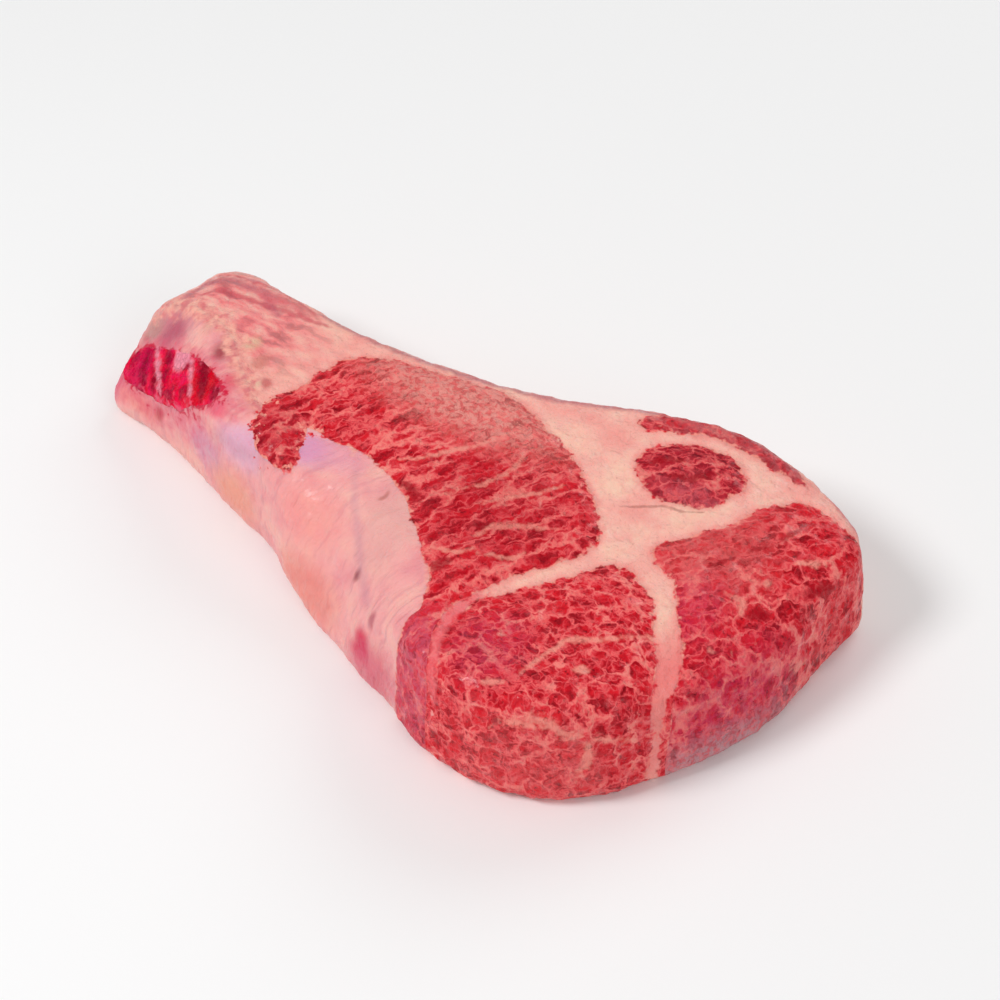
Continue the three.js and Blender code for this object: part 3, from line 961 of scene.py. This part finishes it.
def fat_finish(name):
    """Fat: peach with faint lobes, pinker by the lean, with thin red strips and a vessel in it."""
    material, tree, shader = flesh(name, 0.45, 0.35, FAT)
    place = use(tree, place_group)["Place"]
    strayed = use(tree, wander_group, {"Place": place, "Size": 6.0, "Amount": 4.0})["Place"]
    lobes = use(tree, net_group, {"Place": strayed, "Cell": 5.0, "Width": 0.5, "Soft": 0.9, "Gaps": 1.2})
    grain = use(tree, grain_group, {"Place": place})
    broad = clouds(tree, place, 14, 3.0)
    base = ramp(tree, broad, [(0.3, colour(248, 166, 156)), (0.5, FAT), (0.7, colour(255, 204, 182))])
    base = mix(tree, maths(tree, "MULTIPLY", lobes["Fat"], 0.12), base, colour(232, 130, 128))
    wobble = wobbling(tree, place, 2.4, 2.6)
    base = tint_along(tree, base, "border", wobble, 2.6, 0.0, colour(244, 134, 128), 0.5)
    for spot in SEAM_SPOTS:
        base = patch(tree, strayed, base, *spot)
    drawn_out = vectors(tree, "MULTIPLY", strayed, (0.4, 1, 0.5))
    blotches = ramp(tree, clouds(tree, drawn_out, 4.5, 3.0), TAIL_TONES)
    base = patch(tree, strayed, base, (-104, 20, 42), (44, 32, 34), blotches, 0.9)
    base = tint_along(tree, base, "red_strip", wobble, 1.4, -0.6, colour(206, 84, 96), 0.7)
    # Painted shade along the far rim
    base = painted_rim_shade(tree, base, wobble)
    for spot in TAIL_SPOTS:
        base = patch(tree, strayed, base, *spot)
    base = skin_over(tree, place, base)
    slight = maths(tree, "MULTIPLY", wobble, 0.3)
    base = tint_along(tree, base, "vessel", slight, 0.6, -0.2, colour(156, 98, 86), 0.55)
    specks = spread(tree, clouds(tree, place, 1.3, 2.0), 0.66, 0.74, 0.0, 0.35)
    base = mix(tree, specks, base, colour(190, 120, 112))
    base = lean_bits(tree, place, base, EYE_WEAVE)
    base = seam_over(tree, base, wobble)
    height = maths(tree, "MULTIPLY_ADD", lobes["Fat"], -0.12, maths(tree, "MULTIPLY", grain["Height"], 0.9))
    height = maths(tree, "MULTIPLY_ADD", clouds(tree, strayed, 3.5, 3.0), 1.0, height)
    finish_flesh(tree, shader, base, height, 1.0, place)
    return material


def bone_finish(name):
    """The rib under its thin skin: pink and peach with long faint streaks, lilac near the meat."""
    material, tree, shader = flesh(name, 0.38, 0.3, colour(240, 165, 160))
    place = use(tree, place_group)["Place"]
    strayed = use(tree, wander_group, {"Place": place, "Size": 12.0, "Amount": 6.0})["Place"]
    turned = turned_by(tree, strayed, math.radians(-64))
    streaks = clouds(tree, vectors(tree, "MULTIPLY", turned, (0.12, 1, 0.25)), 2.2, 3.0)
    broad = clouds(tree, strayed, 11, 2.0)
    base = ramp(tree, broad, BONE_TONES)
    base = mix(tree, spread(tree, streaks, 0.5, 0.75, 0.0, 0.5), base, colour(216, 138, 148))
    for spot in BONE_SPOTS:
        base = patch(tree, strayed, base, *spot)
    ripple = maths(tree, "MULTIPLY", clouds(tree, place, 4.0, 2.0), 1.6)
    # Grey streaks: skin folds, and painted shade beside the flank's ridge
    base = tint_along(tree, base, "grey_fold_and_shade", ripple, 2.8, 0.0, colour(204, 146, 160), 0.4)
    base = skin_over(tree, place, base)
    wobble = wobbling(tree, place, 2.4, 2.6)
    # Painted shade along the far rim and the rib's end
    base = painted_rim_shade(tree, base, wobble)
    base = marrow_bits(tree, place, base)
    base = lean_bits(tree, place, base, RIB_WEAVE, 0.8)
    grain = use(tree, grain_group, {"Place": place})
    height = maths(tree, "MULTIPLY_ADD", streaks, 1.2, maths(tree, "MULTIPLY", grain["Height"], 0.6))
    finish_flesh(tree, shader, base, height, 0.9, place, wetness=0.35)
    return material


def marrow_finish(name):
    """Marrow in the sawn rib: crimson, magenta at its far end, with pale and dark streaks across it."""
    material, tree, shader = flesh(name, 0.5, 0.06, colour(190, 10, 50))
    shader.inputs["Specular IOR Level"].default_value = 0.04
    place = use(tree, place_group)["Place"]
    strayed = use(tree, wander_group, {"Place": place, "Size": 5.0, "Amount": 3.0})["Place"]
    broad = clouds(tree, strayed, 6.0, 2.0)
    tones = [(0.36, colour(184, 0, 54)), (0.48, colour(240, 0, 56)), (0.64, colour(250, 20, 86))]
    base = ramp(tree, broad, tones)
    base = patch(tree, strayed, base, (-94, -7, 40), (9, 12, 16), colour(228, 0, 22), 0.8)
    base = patch(tree, strayed, base, (-130, -1, 20), (7, 12, 16), colour(196, 14, 84), 0.6)
    wobble = wobbling(tree, place, 2.4, 3.4)
    base = tint_along(tree, base, "marrow_pale", wobble, 1.8, -0.8, colour(250, 152, 172), 0.95)
    against = maths(tree, "MULTIPLY", wobble, -1.0)
    base = tint_along(tree, base, "marrow_dark", against, 1.8, -1.0, colour(136, 0, 36), 0.85)
    pores = use(tree, net_group, {"Place": place, "Cell": 1.8, "Width": 0.5, "Soft": 0.3, "Gaps": 1.5})
    base = mix(tree, maths(tree, "MULTIPLY", pores["Fat"], 0.08), base, colour(232, 100, 116))
    stray = marrow_stray(tree, place)
    base = tint_along(tree, base, "marrow_edge", stray, -0.6, 1.8, colour(232, 104, 128), 0.85)
    height = maths(tree, "MULTIPLY_ADD", pores["Fat"], 0.8, broad)
    finish_flesh(tree, shader, base, height, 0.6, place, wetness=0.15)
    return material


finishes = {
    "rib_meat": lean(
        "rib lean",
        RIB_WEAVE,
        [
            # Mauve on the front wall beside the eye is painted shade of the wall
            ((36, -64, 30), (20, 18, 44), colour(210, 84, 110), 0.75),
            ((-12, 32, 46), (46, 19, 30), colour(240, 152, 142), 0.95),
            ((24, -4, 46), (30, 26, 30), colour(170, 8, 30), 0.35),
            ((-56, -16, 44), (16, 14, 20), colour(170, 20, 44), 0.4),
        ],
    ),
    "eye_meat": lean(
        "eye lean",
        EYE_WEAVE,
        [
            ((56, -52, 46), (14, 16, 30), ROSE, 0.5),
            ((80, -62, 16), (34, 16, 24), colour(238, 112, 112), 0.35),
        ],
    ),
    "cap_meat": lean(
        "cap lean",
        CAP_WEAVE,
        [
            ((92, 23, 46), (21, 25, 14), colour(220, 96, 96), 0.7),
            ((98, -3, 44), (12, 18, 16), colour(212, 48, 88), 0.45),
            # Magenta on the cap's outer wall and lilac-grey at its foot are painted shade
            ((122, -12, 20), (24, 34, 22), colour(206, 46, 92), 0.6),
            ((121, -20, 3), (26, 42, 15), colour(196, 142, 149), 0.95),
        ],
    ),
    "small_meat": lean(
        "small lean",
        (math.radians(30), 1.8, 5.0, 0.4),
        [
            ((67, 46, 46), (24, 20, 20), colour(150, 26, 46), 0.3),
            ((76, 37, 46), (18, 7, 20), colour(206, 92, 104), 0.55),
        ],
        deep=colour(120, 2, 24),
        red=colour(154, 8, 32),
        bright=colour(188, 24, 44),
    ),
    "edge_meat": lean(
        "edge lean",
        (math.radians(5), 2.5, 5.0, 0.7),
        [((80, 68, 40), (60, 20, 40), colour(180, 84, 90), 0.7)],
    ),
    "rib": bone_finish("rib skin"),
    "rib_marrow": marrow_finish("marrow"),
    "fat_and_seams": fat_finish("fat"),
}
SLOTS = {
    "rib_meat": ("rib_muscle", "rib_lean"),
    "eye_meat": ("eye_muscle", "eye_lean"),
    "cap_meat": ("cap_muscle", "cap_lean"),
    "small_meat": ("small_muscle", "small_lean"),
    "edge_meat": ("edge_muscle", "edge_lean"),
    "rib": ("rib_bone", "bone"),
    "rib_marrow": ("marrow", "marrow"),
    "fat_and_seams": ("fat", "fat"),
}

for name, piece in pieces.items():
    write_marks(piece)
    move_points(piece, (points_of(piece) + SHIFT) * MM)
    piece.data.materials.clear()
    piece.data.materials.append(finishes[name])
    only(piece)
    bpy.ops.object.shade_smooth_by_angle(angle=SMOOTH_ANGLE)
    node, slot = SLOTS[name]
    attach(piece, "root")
    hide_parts(node)

# ---------------------------------------------------------------- floor, light and camera


def area_light(name, place, aim, size, power):
    data = bpy.data.lights.new(name, "AREA")
    data.shape, data.size, data.energy = "DISK", size, power
    lamp = bpy.data.objects.new(name, data)
    lamp.location = place
    lamp.rotation_euler = (Vector(place) - Vector(aim)).to_track_quat("Z", "Y").to_euler()
    bpy.context.scene.collection.objects.link(lamp)


bpy.ops.object.select_all(action="DESELECT")
bpy.ops.mesh.primitive_plane_add(size=8, location=(0, 0, 0))
floor = bpy.context.object
floor.name = "floor"
pale = surface("pale floor", {"Base Color": (0.95, 0.95, 0.95, 1), "Roughness": 0.7})[0]
floor.data.materials.append(pale)

AIM = tuple((place + shift) * MM for place, shift in zip((10, 20, 20), SHIFT))
area_light("key light", (-0.55, -0.75, 1.15), AIM, 0.5, 10.5)
area_light("fill light", (0.95, -0.35, 0.8), AIM, 0.9, 3)
area_light("back light", (0.1, 1.1, 0.9), AIM, 0.9, 4.5)

world = bpy.data.worlds.new("studio")
world.use_nodes = True
world.node_tree.nodes["Background"].inputs["Color"].default_value = (1, 1, 1, 1)
world.node_tree.nodes["Background"].inputs["Strength"].default_value = 0.38
bpy.context.scene.world = world
bpy.context.scene.view_settings.view_transform = "Standard"

# The camera stands where the photograph was taken from
AZIMUTH, ELEVATION, DISTANCE = math.radians(35), math.radians(47), 0.8
back = Vector(
    (math.sin(AZIMUTH) * math.cos(ELEVATION), -math.cos(AZIMUTH) * math.cos(ELEVATION), math.sin(ELEVATION))
)
lens = bpy.data.cameras.new("camera")
lens.lens, lens.sensor_width = 85, 36
camera = bpy.data.objects.new("camera", lens)
camera.location = Vector(AIM) + back * DISTANCE
camera.rotation_euler = back.to_track_quat("Z", "Y").to_euler()
bpy.context.scene.collection.objects.link(camera)
bpy.context.scene.camera = camera
